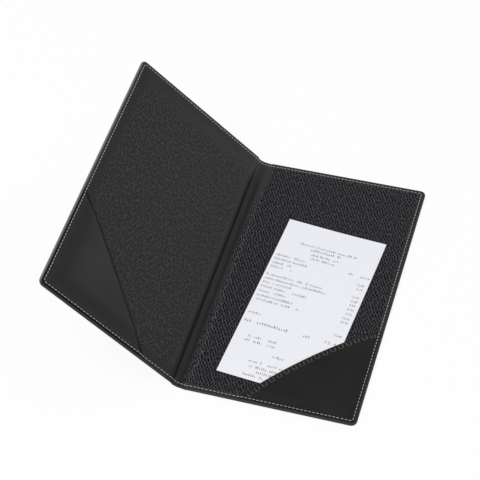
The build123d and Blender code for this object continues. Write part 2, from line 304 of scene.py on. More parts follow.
def pit_rows(tree, place, emboss):
    """0 in a pit and 1 on the web around it."""
    drift = add_node(tree, "ShaderNodeTexNoise",
                     {"Vector": place, "Scale": per_metre(ROW_WANDER_SIZE), "Detail": 1.3},
                     noise_dimensions="2D")
    centred = add_node(tree, "ShaderNodeVectorMath", {0: drift.outputs["Color"], 1: (0.5, 0.5, 0.5)},
                       operation="SUBTRACT")
    wandered = add_node(tree, "ShaderNodeVectorMath",
                        {0: centred.outputs[0], 1: (2 * ROW_WANDER * METRES_PER_MM,) * 3, 2: place},
                        operation="MULTIPLY_ADD")
    counts = []
    for angle in ROW_ANGLES:
        across_rows = [per_metre(PIT_PITCH) * part for part in (math.cos(angle), math.sin(angle), 0)]
        count = add_node(tree, "ShaderNodeVectorMath", {0: wandered.outputs[0], 1: across_rows},
                         operation="DOT_PRODUCT")
        counts.append(count.outputs["Value"])
    rows = add_node(tree, "ShaderNodeCombineXYZ", {"X": counts[0], "Y": counts[1]})
    disorder = add_node(tree, "ShaderNodeMapRange",
                        {"Value": emboss, "To Min": FAINT_DISORDER, "To Max": CLEAR_DISORDER})
    pits = add_node(tree, "ShaderNodeTexVoronoi",
                    {"Vector": rows.outputs[0], "Scale": 1.0, "Randomness": disorder.outputs[0]},
                    voronoi_dimensions="2D", feature="F1")
    turns = add_node(tree, "ShaderNodeMath", {0: counts[0], 1: 2 * math.pi, 2: ROW_WAVE_PHASE},
                     operation="MULTIPLY_ADD")
    wave = add_node(tree, "ShaderNodeMath", {0: turns.outputs[0]}, operation="COSINE")
    joined = add_node(tree, "ShaderNodeMath", {0: wave.outputs[0], 1: ROW_WAVE, 2: pits.outputs["Distance"]},
                      operation="MULTIPLY_ADD")
    wear = add_node(tree, "ShaderNodeTexNoise",
                    {"Vector": place, "Scale": per_metre(WEAR_SIZE), "Detail": 2.0}, noise_dimensions="2D")
    opened = add_node(tree, "ShaderNodeMath", {0: wear.outputs["Fac"], 1: WEAR_AMOUNT, 2: joined.outputs[0]},
                      operation="MULTIPLY_ADD")
    web = add_node(tree, "ShaderNodeMapRange",
                   {"Value": opened.outputs[0], "From Min": PIT_EDGE + WEAR_AMOUNT / 2,
                    "From Max": WEB_EDGE + WEAR_AMOUNT / 2}, interpolation_type="SMOOTHSTEP")
    return web.outputs[0]


def make_embossed_leatherette():
    material, tree, shader = new_material("embossed_leatherette")
    place = add_node(tree, "ShaderNodeUVMap", uv_map="flat_place").outputs["UV"]
    # The third attribute marks the shadow painted beside the left pocket's edge.
    emboss, light_and_polish, pressed = (add_node(tree, "ShaderNodeAttribute", attribute_name=name).outputs["Fac"]
                               for name in ("emboss", "painted_light_and_polish", "painted_pocket_shadow"))
    web = pit_rows(tree, place, emboss)
    relief = add_node(tree, "ShaderNodeMix", {"Factor": emboss, "A": IRONED_HEIGHT, "B": web})
    grain = add_node(tree, "ShaderNodeTexNoise",
                     {"Vector": place, "Scale": per_metre(GRAIN_SIZE), "Detail": 3.0}, noise_dimensions="2D")
    painted_highlight = add_node(tree, "ShaderNodeMapRange", {"Value": light_and_polish, "From Min": HIGHLIGHT_START, "From Max": 1.0})
    # The web's colour is painted lighter on the right shoulder, as a highlight.
    crest = add_node(tree, "ShaderNodeMix",
                     {"Factor": painted_highlight.outputs[0], "A": linear("#414144"), "B": linear("#545458")},
                     data_type="RGBA")
    # The pits are painted near-black, as shade in their hollows, and the web lighter.
    raised = add_node(tree, "ShaderNodeMix",
                      {"Factor": web, "A": linear("#000001"), "B": crest.outputs["Result"]},
                      data_type="RGBA")
    # The smooth sheet is painted darker in the fold of the spine, as shade, and lighter on the open face and
    # the swell.
    ironed = add_node(tree, "ShaderNodeMix",
                      {"Factor": light_and_polish, "A": linear("#202021"), "B": linear("#353537")}, data_type="RGBA")
    sheet = add_node(tree, "ShaderNodeMix",
                     {"Factor": emboss, "A": ironed.outputs["Result"], "B": raised.outputs["Result"]},
                     data_type="RGBA")
    # A shadow is painted dark beside the left pocket's edge.
    shade = add_node(tree, "ShaderNodeMix",
                     {"Factor": pressed, "A": sheet.outputs["Result"], "B": linear("#141415")},
                     data_type="RGBA")
    rough = add_node(tree, "ShaderNodeMapRange", {"Value": emboss, "To Min": 0.40, "To Max": 0.50})
    gloss = add_node(tree, "ShaderNodeMapRange",
                     {"Value": light_and_polish, "From Max": 0.3, "To Min": 0.045, "To Max": 0.07})
    low = add_node(tree, "ShaderNodeBump",
                   {"Height": relief.outputs[0], "Strength": 1.0, "Distance": EMBOSS_DEPTH * METRES_PER_MM})
    fine = add_node(tree, "ShaderNodeBump",
                    {"Height": grain.outputs["Fac"], "Normal": low.outputs[0], "Strength": 1.0,
                     "Distance": GRAIN_DEPTH * METRES_PER_MM})
    set_inputs(tree, shader, {"Base Color": shade.outputs["Result"], "Roughness": rough.outputs[0],
                              "Specular IOR Level": gloss.outputs[0], "Normal": fine.outputs[0]})
    return material


embossed_leatherette = make_embossed_leatherette()
print("pit rows every", PIT_PITCH, "mm")

# %% [markdown]
# ### Plain leatherette
# The cover and the pockets are plain coated cloth with a fine pebble grain, too fine to see from arm's
# length, so it mostly spreads the highlight. A slow cloudiness keeps it from looking like plastic. A
# highlight is painted pale along the fold of the left panel's outer edge, and an attribute says how much.
# One recipe makes both, with a deeper black for the pockets.

# %% Plain leatherette
PEBBLE_SIZE, CLOUD_SIZE = 0.9, 38.0
SMOOTHER, ROUGHER = 0.05, 0.06


def make_plain_leatherette(name, dark, pale, roughness, gloss, pebble_depth):
    material, tree, shader = new_material(name)
    place = add_node(tree, "ShaderNodeTexCoord").outputs["Object"]
    clouds = add_node(tree, "ShaderNodeTexNoise",
                      {"Vector": place, "Scale": per_metre(CLOUD_SIZE), "Detail": 3.0, "Roughness": 0.6})
    pebbles = add_node(tree, "ShaderNodeTexVoronoi",
                       {"Vector": place, "Scale": per_metre(PEBBLE_SIZE), "Randomness": 1.0},
                       feature="SMOOTH_F1")
    shade = add_node(tree, "ShaderNodeMix",
                     {"Factor": clouds.outputs["Fac"], "A": linear(dark), "B": linear(pale)},
                     data_type="RGBA")
    # A highlight is painted pale along the left panel's outer edge.
    painted_highlight = add_node(tree, "ShaderNodeAttribute", attribute_name="painted_edge_highlight").outputs["Fac"]
    shade = add_node(tree, "ShaderNodeMix",
                     {"Factor": painted_highlight, "A": shade.outputs["Result"], "B": linear("#767673")},
                     data_type="RGBA")
    spread = add_node(tree, "ShaderNodeMapRange",
                      {"Value": clouds.outputs["Fac"], "From Min": 0.3, "From Max": 0.7,
                       "To Min": roughness - SMOOTHER, "To Max": roughness + ROUGHER})
    grain = add_node(tree, "ShaderNodeBump",
                     {"Height": pebbles.outputs["Distance"], "Strength": 1.0,
                      "Distance": pebble_depth * METRES_PER_MM}, invert=True)
    set_inputs(tree, shader, {"Base Color": shade.outputs["Result"], "Roughness": spread.outputs[0],
                              "Specular IOR Level": gloss, "Normal": grain.outputs[0]})
    return material


cover_leatherette = make_plain_leatherette("pebbled_leatherette", "#252524", "#333332", 0.45, 0.18, 0.06)
pocket_leatherette = make_plain_leatherette("smooth_leatherette", "#111111", "#212120", 0.42, 0.10, 0.03)
print("plain leatherettes:", cover_leatherette.name, pocket_leatherette.name)

# %% [markdown]
# ### Thread, paper and board
# The seam is bonded polyester thread, pale grey, with the twist of its plies just visible. The till slip is
# smooth thermal paper. The boards inside are greyboard, pulped from waste paper, with a filler of kraft.
# All of them are fibres, so one recipe makes them: a fine noise gives the fibres their shade and relief.

# %% Thread, paper and board
PLY_LENGTH = 0.45


def make_fibrous(name, dark, pale, fibre_size, roughness, nap_depth=0.02, sheen=0.0, **fibre_looks):
    """Fibres or plies of one size. Further names are sockets of the noise that draws them."""
    material, tree, shader = new_material(name)
    place = add_node(tree, "ShaderNodeTexCoord").outputs["Object"]
    fibres = add_node(tree, "ShaderNodeTexNoise",
                      {"Vector": place, "Scale": per_metre(fibre_size), "Detail": 5.0, "Roughness": 0.65,
                       **fibre_looks})
    shade = add_node(tree, "ShaderNodeMix",
                     {"Factor": fibres.outputs["Fac"], "A": linear(dark), "B": linear(pale)},
                     data_type="RGBA")
    nap = add_node(tree, "ShaderNodeBump",
                   {"Height": fibres.outputs["Fac"], "Strength": 1.0, "Distance": nap_depth * METRES_PER_MM})
    set_inputs(tree, shader, {"Base Color": shade.outputs["Result"], "Normal": nap.outputs[0],
                              "Roughness": roughness, "Sheen Weight": sheen})
    return material


def make_thread(name, dark, pale):
    return make_fibrous(name, dark, pale, PLY_LENGTH, 0.6, nap_depth=0.05, sheen=0.3,
                        Detail=2.0, Roughness=0.5)


seam_thread = make_thread("bonded_polyester_thread", "#91918A", "#D0D0C8")
overcast_thread = make_thread("dark_polyester_thread", "#3A3A34", "#60605A")
till_paper = make_fibrous("thermal_paper", "#ECEDF2", "#F3F4F8", 6.0, 0.55)
till_print = make_fibrous("thermal_print", "#6C6C74", "#8E8E96", 0.5, 0.6)
greyboard = make_fibrous("greyboard", "#7A756C", "#98928A", 0.8, 0.9)
kraft_filler = make_fibrous("kraft_filler", "#9A8468", "#B39C7E", 0.6, 0.85)
for node, material in (("board", greyboard), ("filler", kraft_filler)):
    for side in ("right", "left"):
        for material_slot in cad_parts[f"{side}_{node}"].material_slots:
            material_slot.material = material
print("boards and fillers keep their CAD shape")

# %% [markdown]
# ## The outer cover
# The cover is one skin that wraps each board. It is cut larger than the board, its edges are skived thin,
# which means pared with a knife, and turned in over the board, and the lining hides the turned-in part. So
# the sewn rim is thinner than the panel inside it. Seen from outside, what matters is the soft round of the
# fold along the rim. Its section is drawn once, from the turn-in round the rim to the underside, and swept
# along the head, round a corner, down the rim, round a corner and along the foot. `bmesh.ops.spin` does
# both: with an angle it turns, and with only a step it runs straight.

# %% Sweeping helpers
SWEEP_STEP = 1.5


def sweep(bm, chain, away):
    """Carry a chain of edges along a straight line in short steps, and give its last place."""
    away = Vector(away)
    count = max(1, round(away.length / SWEEP_STEP))
    swept = bmesh.ops.spin(bm, geom=chain, cent=(0, 0, 0), axis=(0, 0, 1), dvec=away / count,
                           angle=0.0, steps=count, use_duplicate=False)
    return swept["geom_last"]


def turn_corner(bm, chain, centre, segments=8):
    """Carry a chain round a corner, a quarter turn clockwise."""
    swept = bmesh.ops.spin(bm, geom=chain, cent=centre, axis=(0, 0, -1), dvec=(0, 0, 0),
                           angle=math.pi / 2, steps=segments, use_duplicate=False)
    return swept["geom_last"]


def edges_where(bm, test):
    return [edge for edge in bm.edges if all(test(vertex.co) for vertex in edge.verts)]


def draw_out(bm, edges):
    """Extrude edges, and give the new vertices."""
    drawn = bmesh.ops.extrude_edge_only(bm, edges=edges)["geom"]
    return [item for item in drawn if isinstance(item, bmesh.types.BMVert)]


# %% The cover's section and its sweep
RIM_ROUND, ROUND_END = 1.25, 2.2
RIM_TOP, RIM_UNDER = 2.4, 0.3
ROUND_STEPS = 8
ROLL_START, ROLL_END = 3.0, 10.0
MITRE_GAP = 0.4
CLOSE = 1e-4


def rim_section():
    """The cover's outer line from the turn-in round the rim to the underside: (inset, height)."""
    top = [(CORNER_RADIUS, RIM_TOP), (SEAM_INSET, RIM_TOP), (ROUND_END, RIM_TOP)]
    angles = [math.radians(90 - 180 * step / ROUND_STEPS) for step in range(ROUND_STEPS + 1)]
    middle, half = (RIM_TOP + RIM_UNDER) / 2, (RIM_TOP - RIM_UNDER) / 2
    fold_line = [(RIM_ROUND * (1 - math.cos(a)), middle + half * math.sin(a)) for a in angles]
    under = [(ROUND_END, 0.2), (SEAM_INSET - 0.6, 0.12), (SEAM_INSET, 0.04), (SEAM_INSET + 0.6, 0.0),
             (CORNER_RADIUS, 0.0)]
    return top + fold_line + under


def spine_roll(y, head_end=ROLL_END):
    """How much higher the sheets stand over the spine at head and foot, where the edge is a soft roll."""
    from_head, from_foot = HEAD_Y - y, y + HEAD_Y
    return 1.0 - np.minimum(smooth_step(from_head, ROLL_START, head_end),
                            smooth_step(from_foot, ROLL_START, ROLL_END))


def lower_over_spine(points):
    """Over the spine there is no board, so the turn-in lies on the skin and the rim is thinner."""
    thinned = points.copy()
    off_board = smooth_step(points[:, 0], BOARD_EDGE_X - 0.2, BOARD_EDGE_X - 3.6)
    thin_top = SPINE_WRAP_TOP + spine_roll(points[:, 1])
    thinned[:, 2] *= 1 - off_board * (1 - thin_top / WRAP_TOP)
    return thinned


def make_cover_bmesh():
    bm = bmesh.new()
    line = [bm.verts.new((SPINE_CENTRE_X, HEAD_Y - inset, height)) for inset, height in rim_section()]
    chain = line + [bm.edges.new(pair) for pair in zip(line, line[1:])]
    along_head = CORNER_X - SPINE_CENTRE_X
    chain = sweep(bm, chain, (along_head, 0, 0))
    chain = turn_corner(bm, chain, (CORNER_X, CORNER_Y, 0))
    chain = sweep(bm, chain, (0, -2 * CORNER_Y, 0))
    chain = turn_corner(bm, chain, (CORNER_X, -CORNER_Y, 0))
    sweep(bm, chain, (-along_head, 0, 0))

    underside = edges_where(bm, lambda p: abs(p.y - CORNER_Y) < CLOSE and p.z < CLOSE)
    sweep(bm, underside, (0, -2 * CORNER_Y, 0))
    bmesh.ops.remove_doubles(bm, verts=bm.verts[:], dist=1e-3)
    return bm


def widen_turn_in(bm):
    """Draw the turned-in edge out to its full width, with a mitre at each corner."""
    hidden = TURN_IN - CORNER_RADIUS
    for sign in (1, -1):
        inner = edges_where(bm, lambda p: abs(p.y - sign * CORNER_Y) < CLOSE and p.z > RIM_TOP - CLOSE)
        for vertex in draw_out(bm, inner):
            vertex.co.y -= sign * hidden
            vertex.co.z = WRAP_TOP
            vertex.co.x -= hidden * max(0.0, (vertex.co.x - SPINE_CENTRE_X) / (CORNER_X - SPINE_CENTRE_X))
    inner = edges_where(bm, lambda p: abs(p.x - CORNER_X) < CLOSE and p.z > RIM_TOP - CLOSE
                        and abs(p.y) < CORNER_Y + CLOSE)
    for vertex in draw_out(bm, inner):
        vertex.co.x -= hidden
        vertex.co.y *= 1 - (hidden + MITRE_GAP) / CORNER_Y
        vertex.co.z = WRAP_TOP


# %% [markdown]
# A sewn line sinks into soft sheet. `seam_distance` says how far a point is from the seam and how far along
# it, and `press` gives the shallow groove, deepest at the needle holes between two stitches.

# %% The pressed line of the seam
STITCH_PITCH = 3.0
SIDE_PHASE = -109.5
END_PHASE = -61.55
GROOVE_SPREAD = 0.75
GROOVE_MEAN, GROOVE_WAVE = 0.68, 0.32


def seam_distance(x, y):
    """The distance from the nearest run of the seam, and the place along it."""
    from_side, from_end = np.abs(x - SEAM_X), np.abs(np.abs(y) - SEAM_Y)
    nearer_side = from_side < from_end
    past_corner = np.hypot(np.maximum(x - SEAM_X, 0), np.maximum(np.abs(y) - SEAM_Y, 0))
    distance = np.where((x > SEAM_X) & (np.abs(y) > SEAM_Y), past_corner, np.minimum(from_side, from_end))
    along = np.where(nearer_side, y - SIDE_PHASE, x - END_PHASE)
    return distance, along


def press(points, depth):
    """How deep the seam presses a sheet at each point."""
    distance, along = seam_distance(points[:, 0], points[:, 1])
    holes = GROOVE_MEAN - GROOVE_WAVE * np.cos(2 * math.pi * along / STITCH_PITCH)
    return depth * holes * np.exp(-(distance / GROOVE_SPREAD) ** 2)


# %% Make both halves of the cover
COVER_GROOVE = 0.35
COVER_WALL = 0.98 * COVER_THICKNESS
# Where the painted highlight lies along the left panel's outer edge, and how wide it is.
EDGE_HIGHLIGHT_INSET, EDGE_HIGHLIGHT_WIDTH = 0.2, 0.9


def press_underside(points):
    pressed = points.copy()
    outside = points[:, 2] < RIM_UNDER
    pressed[:, 2] += np.where(outside, press(points, COVER_GROOVE), 0)
    return pressed


def skive_turn_in(points):
    """Pare the turned-in sheet from below, so that the board still fits under it."""
    under = (np.abs(points[:, 2] - RIM_TOP + COVER_THICKNESS) < 0.1) & (points[:, 0] > BOARD_EDGE_X - 0.2)
    pared = points.copy()
    pared[:, 2] = np.where(under, BOARD_TOP, points[:, 2])
    return pared


def mark_painted_edge_highlight(bm):
    """A highlight painted pale along the fold of the left panel's outer edge."""
    layer = bm.verts.layers.float.new("painted_edge_highlight")
    for vertex in bm.verts:
        vertex[layer] = math.exp(-((RIM_X - vertex.co.x - EDGE_HIGHLIGHT_INSET) / EDGE_HIGHLIGHT_WIDTH) ** 2)


def make_cover(left):
    side = name_of(left)
    bm = make_cover_bmesh()
    widen_turn_in(bm)
    move_points(bm, lower_over_spine)
    bmesh.ops.recalc_face_normals(bm, faces=bm.faces[:])
    bmesh.ops.solidify(bm, geom=bm.faces[:], thickness=COVER_WALL)
    if left:
        mark_painted_edge_highlight(bm)
    move_points(bm, lambda p: skive_turn_in(press_underside(p)))
    piece = finish_piece(bm, f"{side}_wrapped_cover", cover_leatherette, left)
    bend_over_spine(piece, left)
    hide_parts(f"{side}_outer_cover", f"{side}_crease_cover", "spine_outer_cover")


for is_left in (False, True):
    make_cover(is_left)

# %% [markdown]
# ## The lining
# The embossed lining covers the boards and the spine in one sheet, cut a little short of the rim. Over the
# boards it is flat. At the spine it dips between them: on the left side it drops sharply at the board's
# edge, and on the right it bridges softly and bows towards the spine, because the folder is part closed
# and the inner sheet is then too wide for its place. A grid is enough, with its lines set close together
# near the seam and the creases, and moved by rules.

# %% The lining's grid
FINE_STEP, PLAIN_STEP, SHORTEST_STEP = 0.55, 1.0, 0.3


def stations(low, high, fine_zones):
    """Places from low to high, close together in the fine zones."""
    places = [low]
    while places[-1] < high - 1e-6:
        here = places[-1]
        fine = any(start <= here < end for start, end in fine_zones)
        places.append(min(high, here + (FINE_STEP if fine else PLAIN_STEP)))
    if places[-1] - places[-2] < SHORTEST_STEP:
        places.pop(-2)
    return np.array(places)


def make_grid(columns, rows):
    """A grid of quads whose lines stand at the given places."""
    bm = bmesh.new()
    bmesh.ops.create_grid(bm, x_segments=len(columns) - 1, y_segments=len(rows) - 1, size=0.5)
    move_points(bm, lambda p: np.column_stack([
        np.interp(p[:, 0] + 0.5, np.linspace(0, 1, len(columns)), columns),
        np.interp(p[:, 1] + 0.5, np.linspace(0, 1, len(rows)), rows), p[:, 2]]))
    return bm


def round_rim_corners(points):
    """Draw the two square rim corners of a grid in to rounded ones."""
    x, y = points[:, 0], points[:, 1]
    u, v = x - CORNER_X, np.abs(y) - CORNER_Y
    in_corner = (u > 0) & (v > 0)
    share = np.where(in_corner, np.maximum(u, v) / np.maximum(np.hypot(u, v), 1e-9), 1.0)
    rounded = points.copy()
    rounded[:, 0] = np.where(in_corner, CORNER_X + u * share, x)
    rounded[:, 1] = np.where(in_corner, np.sign(y) * (CORNER_Y + v * share), y)
    return rounded


# %% [markdown]
# `spine_dip` is the lining's height across the spine. On the left it rolls off the board's edge in a few
# millimetres. On the right it comes down in a long soft slope, steeper at head and foot, where the seam
# holds the sheet down. Between them it keeps a low swell, and a few short creases run along it, as in any
# folder that is opened and shut all day.

# %% The dip over the spine
# Where the dip starts and ends beside the board's edge, and how far each moves where the seam holds it.
DIP = {"left": (2.0, -4.4), "right": (-1.1, -7.0)}
DIP_WHERE_HELD = {"left": (-1.6, -2.2), "right": (1.5, 4.0)}
LINING_ROLL_END = 45.0
SWELL_X, SWELL_WIDTH, SWELL_HEIGHT = -73.5, 2.2, 0.3
CREASE_WIDTH = 0.7
# Each crease: where it starts and ends on the flat folder, and how deep it is.
SPINE_CREASES = [
    ((-71.5, 96), (-68.0, 80), 0.16), ((-69.5, 104), (-66.0, 90), 0.12), ((-73.0, 72), (-70.5, 50), 0.10),
    ((-71.5, 44), (-70.0, 24), 0.14), ((-75.5, 20), (-73.5, 2), 0.08), ((-73.2, -14), (-70.2, -34), 0.16),
    ((-71.8, -22), (-69.2, -44), 0.14), ((-76.0, -50), (-74.0, -66), 0.08),
    ((-72.5, -64), (-70.5, -88), 0.12),
]


def held_at_rim(y):
    """1 at head and foot, where the seam holds the sheet down, and 0 where it is free."""
    return smooth_step(np.abs(y), 98.0, 112.0)


def on_flat_folder(x, left):
    """Where a piece that is drawn on the right lies across the flat folder."""
    return 2 * SPINE_CENTRE_X - x if left else x


def on_swell(flat_x):
    """1 along the top of the spine's swell and 0 away from it."""
    return np.exp(-((flat_x - SWELL_X) / SWELL_WIDTH) ** 2)


def crease_depth(x, y):
    """How deep the short creases along the spine are at each place."""
    depth = np.zeros_like(x)
    for start, end, deepest in SPINE_CREASES:
        way = np.subtract(end, start)
        length = np.hypot(*way)
        share = np.clip(((x - start[0]) * way[0] + (y - start[1]) * way[1]) / length ** 2, 0, 1)
        away = np.hypot(x - start[0] - share * way[0], y - start[1] - share * way[1])
        depth += deepest * np.sin(math.pi * share) * np.exp(-(away / CREASE_WIDTH) ** 2)
    return depth


def spine_dip(points, left):
    """Lower the lining between the boards. The points are a right-hand piece's, also for the left."""
    x, y = points[:, 0], points[:, 1]
    held, side = held_at_rim(y), name_of(left)
    flat_x = on_flat_folder(x, left)
    start_held, end_held = (held * (y < 0), smooth_step(y, 94.0, 110.0)) if left else (held, held)
    start = BOARD_EDGE_X + DIP[side][0] + DIP_WHERE_HELD[side][0] * start_held
    end = BOARD_EDGE_X + DIP[side][1] + DIP_WHERE_HELD[side][1] * end_held
    dipped = points.copy()
    dipped[:, 2] -= smooth_step(x, start, end) * (PANEL_TOP - SPINE_TOP - spine_roll(y, LINING_ROLL_END))
    dipped[:, 2] += (1 - held) * (SWELL_HEIGHT * on_swell(flat_x) - crease_depth(flat_x, y))
    return dipped


# %% [markdown]
# The lining's looks follow its shape: the emboss fades by the seam and over the spine, the open face is
# glossier, shade is painted into the fold of the spine, highlights onto its swell and the right shoulder, and
# a shadow beside the left pocket's edge. So the openings of the pockets are drawn here, where the lining
# first needs them.

# %% Where the emboss is left, and where shade and highlights are painted
# How far each pocket reaches up the side and along the foot, and how far its opening bows out.
POCKET_CUTS = {"right": (86.0, 87.5, 5.0), "left": (88.5, 95.5, 1.5)}
# Where the emboss begins on the right, from foot to head: over the spine it is ironed out unevenly.
EMBOSS_EDGE_Y = [-112, -40, -20, 0, 30, 50, 70, 80, 90, 112]
EMBOSS_EDGE_X = [-69.8, -69.6, -67.6, -68.2, -70.0, -69.0, -67.5, -64.5, -62.6, -62.0]
LEFT_EMBOSS = 0.44
# How light the painted shade and highlights make the lining: on each open face, on the right shoulder, on the
# swell and towards the head.
LEFT_OPEN_LEVEL, RIGHT_OPEN_LEVEL, SHOULDER_HIGHLIGHT = 0.22, 0.72, 0.28
SWELL_HIGHLIGHT, HEAD_SHADE_LIFT = 0.3, 0.55


def opening_ends(cut):
    """Where a pocket's opening meets the side hem and the foot hem."""
    return (np.array((RIM_X - POCKET_INSET, cut[0] - HEAD_Y)),
            np.array((RIM_X - cut[1], POCKET_INSET - HEAD_Y)))


def from_opening(points, cut):
    """About how far inside a pocket's opening a point lies; less than 0 out on the lining."""
    start, end = opening_ends(cut)
    chord = end - start
    length = np.hypot(*chord)
    share = (points[:, :2] - start) @ chord / length ** 2
    out = (points[:, :2] - start) @ np.array([chord[1], -chord[0]]) / length
    return 4 * cut[2] * share * (1 - share) - out


def painted_pocket_shadow(x, y, left):
    """1 on the lining just outside the left pocket's edge, where a shadow is painted and the emboss is flat.
    """
    if not left:
        return np.zeros_like(x)
    return smooth_step(from_opening(np.column_stack([x, y]), POCKET_CUTS["left"]), -3.3, -2.1)


def emboss_left(x, y, left):
    """How much of the emboss is left: none by the seam and over the spine, and less on the left panel."""
    distance, _ = seam_distance(x, y)
    if left:
        away_from_spine = smooth_step(x, BOARD_EDGE_X + 1.5, BOARD_EDGE_X + 8.5)
        away_from_head = smooth_step(SEAM_Y - y, 4.0, 26.0)
        faint = LEFT_EMBOSS * smooth_step(distance, 2.0, 11.0)
        return faint * away_from_head * away_from_spine * (1 - painted_pocket_shadow(x, y, left))
    edge = np.interp(y, EMBOSS_EDGE_Y, EMBOSS_EDGE_X) + 0.6 * np.sin(y * 0.31) * np.sin(y * 0.11)
    return smooth_step(distance, 0.7, 2.6) * smooth_step(x, edge, edge + 2.2)


def painted_light_and_polish(x, y, left):
    """Painted shade in the spine's fold and painted highlights on its swell and right shoulder; also the
    gloss.
    """
    edge = BOARD_EDGE_X + 3.6 if left else BOARD_EDGE_X - 4.8
    open_face = smooth_step(x, edge - 1.8, edge + 0.4)
    shoulder = np.exp(-((x - BOARD_EDGE_X + 0.8) / 2.5) ** 2)
    swell = SWELL_HIGHLIGHT * on_swell(on_flat_folder(x, left))
    in_fold = np.maximum(swell, HEAD_SHADE_LIFT * smooth_step(y, 84.0, 108.0))
    if left:
        open_amount = LEFT_OPEN_LEVEL * (1 - painted_pocket_shadow(x, y, left))
    else:
        open_amount = RIGHT_OPEN_LEVEL + SHOULDER_HIGHLIGHT * shoulder
    return open_amount * open_face + (1 - open_face) * in_fold


# %% [markdown]
# The lining is skived too, where it lies on the thin turn-in. `at_rim` is 1 along the seam and outside it,
# and 0 from a few millimetres inside. The upper face sinks by the paring of both sheets, the lower face by
# the turn-in's alone.

# %% Make both halves of the lining
LINING_GROOVE = 0.12
TURN_IN_SKIVE = WRAP_TOP - RIM_TOP
LINING_SKIVE, LINING_REACH = 0.25, 9.0
SEAM_BAND = 1.6


def at_rim(x, y, reach):
    outside = np.maximum(x - SEAM_X, np.abs(y) - SEAM_Y)
    return smooth_step(outside, -reach, -0.2)


def skive_lining(points):
    """Thin the lining's margin and press the seam's groove in its upper face."""
    upper = points[:, 2] > PANEL_TOP - 0.1
    thin = at_rim(points[:, 0], points[:, 1], LINING_REACH)
    skived = points.copy()
    skived[:, 2] -= thin * TURN_IN_SKIVE + upper * (thin * LINING_SKIVE + press(points, LINING_GROOVE))
    return skived


def make_lining(left):
    side = name_of(left)
    far_x, far_y = RIM_X - LINING_INSET, HEAD_Y - LINING_INSET
    columns = stations(SPINE_CENTRE_X, far_x,
                       [(SPINE_CENTRE_X, BOARD_EDGE_X + 1), (SEAM_X - SEAM_BAND, far_x)])
    rows = stations(-far_y, far_y, [(-far_y, SEAM_BAND - SEAM_Y), (SEAM_Y - SEAM_BAND, far_y)])
    bm = make_grid(columns, rows)
    move_points(bm, round_rim_corners)
    bmesh.ops.translate(bm, vec=(0, 0, PANEL_TOP), verts=bm.verts[:])
    bmesh.ops.solidify(bm, geom=bm.faces[:], thickness=LINING_THICKNESS)
    keep_flat_place(bm)
    points = np.array([vertex.co for vertex in bm.verts])
    for attribute, rule in (("emboss", emboss_left), ("painted_light_and_polish", painted_light_and_polish), ("painted_pocket_shadow", painted_pocket_shadow)):
        layer = bm.verts.layers.float.new(attribute)
        for vertex, amount in zip(bm.verts, rule(points[:, 0], points[:, 1], left)):
            vertex[layer] = amount
    move_points(bm, lambda p: spine_dip(skive_lining(p), left))
    piece = finish_piece(bm, f"{side}_embossed_lining", embossed_leatherette, left)
    bend_over_spine(piece, left)
    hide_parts(f"{side}_lining", f"{side}_crease_lining", "spine_lining")


for is_left in (False, True):
    make_lining(is_left)

# %% [markdown]
# ## The corner pockets
# Each pocket is a triangle of smooth leatherette, caught in the rim seam on two sides and free on the third.
# The grid is pulled to the triangle: one edge becomes the bowed opening, the other runs down the rim, round
# the corner and along the foot. From the pressed hem the leather rises to leave room for a slip.

# %% The pocket's grid
POCKET_ROOM = {"right": 0.85, "left": 0.45}
HEM_RISE = {"right": 9.0, "left": 22.0}
EDGE_DROP, EDGE_DROP_WIDTH = 0.3, 1.9


def bowed_line(cut, share):
    """Points along a pocket's opening, which bows towards the page's middle."""
    start, end = opening_ends(cut)
    chord = end - start
    outward = np.array([chord[1], -chord[0]]) / np.hypot(*chord)
    return start + np.outer(share, chord) + np.outer(4 * cut[2] * share * (1 - share), outward)


def corner_path(cut, share):
    """Points down the side hem and along the foot hem."""
    far_x, far_y = RIM_X - POCKET_INSET, -(HEAD_Y - POCKET_INSET)
    top_y, near_x = cut[0] - HEAD_Y, RIM_X - cut[1]
    down, along = top_y - far_y, far_x - near_x
    travel = share * (down + along)
    x = np.where(travel < down, far_x, far_x - (travel - down))
    y = np.where(travel < down, top_y - travel, far_y)
    return np.column_stack([x, y])


def pocket_points(points, cut):
    """Pull a unit grid to the pocket's outline: first column along the opening, second towards the corner."""
    share, depth = points[:, 0], points[:, 1:2]
    flat = bowed_line(cut, share) * (1 - depth) + corner_path(cut, share) * depth
    return round_rim_corners(np.column_stack([flat, points[:, 2]]))


def pocket_height(points, side):
    """Height of the pocket's upper face: pressed down at the hem and rolled down at its opening."""
    from_rim = np.minimum(RIM_X - points[:, 0], points[:, 1] + HEAD_Y)
    rise = smooth_step(from_rim, SEAM_INSET + 0.4, SEAM_INSET + HEM_RISE[side])
    roll = (1 - smooth_step(from_opening(points, POCKET_CUTS[side]), 0, EDGE_DROP_WIDTH)) * rise
    return PANEL_TOP + POCKET_THICKNESS + POCKET_ROOM[side] * rise - EDGE_DROP * roll


# %% Make both pockets
POCKET_GROOVE, POCKET_SKIVE, HEM_REACH = 0.15, 0.2, 16.0
EDGE_ROLL, EDGE_ANGLE = 0.22, math.radians(60)
# From the opening to the hem: where each zone of the grid starts and ends, and its count of lines.
DEPTH_ZONES = ((0, 0.06, 7), (0.06, 0.85, 24), (0.85, 1, 12))


def shape_pocket(points, side):
    """The pocket's upper face, from a unit grid."""
    placed = pocket_points(points, POCKET_CUTS[side])
    placed[:, 2] = pocket_height(placed, side)
    return placed


def skive_pocket(points, side):
    """Thin the pocket's hem and press the seam's groove in its upper face."""
    upper = points[:, 2] > pocket_height(points, side) - POCKET_THICKNESS / 2
    thin = at_rim(points[:, 0], points[:, 1], HEM_REACH)
    skived = points.copy()
    skived[:, 2] -= thin * (TURN_IN_SKIVE + LINING_SKIVE) + upper * (
        thin * POCKET_SKIVE + press(points, POCKET_GROOVE))
    return skived


def pocket_top(points, side):
    """Points moved up or down to the finished pocket's upper face."""
    raised = points.copy()
    raised[:, 2] = pocket_height(points, side)
    return skive_pocket(raised, side)


